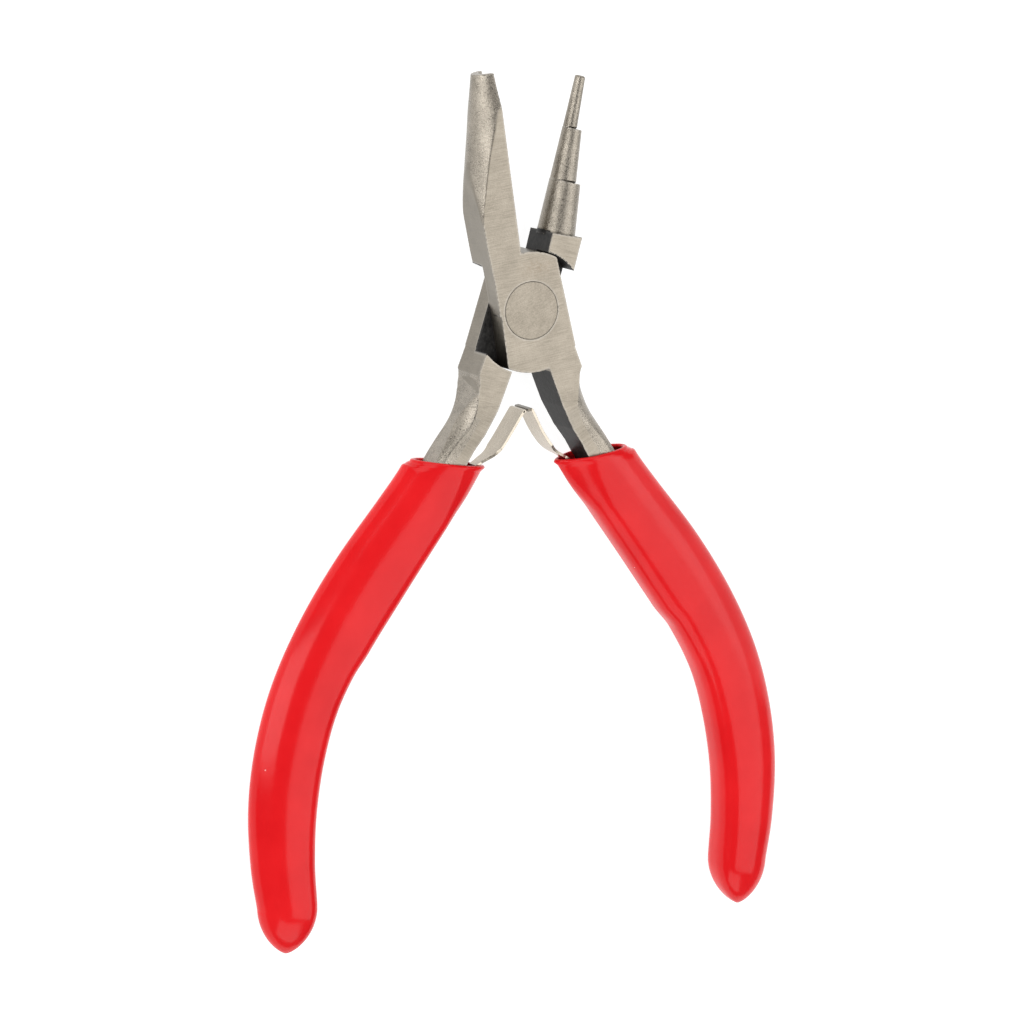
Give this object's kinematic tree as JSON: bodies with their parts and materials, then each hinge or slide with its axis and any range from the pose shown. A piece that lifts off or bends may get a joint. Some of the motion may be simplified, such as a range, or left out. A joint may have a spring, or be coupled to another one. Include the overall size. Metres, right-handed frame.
{
  "type": "wire looping pliers",
  "caption": "Small sprung jewellery pliers: a hollow jaw faces a round jaw turned in three steps; lap joint with a flush rivet, leaf springs and plastic sleeves.",
  "frame": {"origin": "on the rivet's axis, at the flat back face of the head, where the pliers lie on a table", "axes": "+Y towards the jaw tips along the middle of the open pliers, +Z along the rivet towards the front face, +X towards the handle of the hollow jaw's half"},
  "size_m": [0.085, 0.1255, 0.0072],
  "materials": {
    "forged_steel": "ground flats, rough forged rounds, dark inner faces",
    "rivet_steel": "ground flush with the head",
    "spring_steel": "bright plated strip",
    "red_plastic": "soft glossy PVC"
  },
  "bodies": {
    "hollow_half": {"hollow_jaw_half": "forged_steel", "pivot_rivet": "rivet_steel", "right_sleeve": "red_plastic"},
    "stepped_half": {"stepped_jaw_half": "forged_steel", "left_sleeve": "red_plastic"},
    "right_leaf": {"right_spring_leaf": "spring_steel"},
    "left_leaf": {"left_spring_leaf": "spring_steel"}
  },
  "joints": [
    {"name": "pivot", "type": "hinge", "parent": "hollow_half", "child": "stepped_half", "pos_m": [0, 0, 0.0036], "axis": [0, 0, 1], "range_deg": [0, 25], "stiffness_Nm_per_rad": 1.2, "springref_deg": -6.88},
    {"name": "right_leaf_bend", "type": "hinge", "parent": "hollow_half", "child": "right_leaf", "pos_m": [0.0073, -0.0223, 0.0036], "axis": [0, 0, -1], "range_deg": [0, 20]},
    {"name": "left_leaf_bend", "type": "hinge", "parent": "stepped_half", "child": "left_leaf", "pos_m": [-0.0071, -0.0223, 0.0036], "axis": [0, 0, 1], "range_deg": [0, 20]}
  ],
  "couplings": [
    {"joint": "right_leaf_bend", "follows": "pivot", "ratio": 0.78},
    {"joint": "left_leaf_bend", "follows": "pivot", "ratio": 0.78}
  ]
}
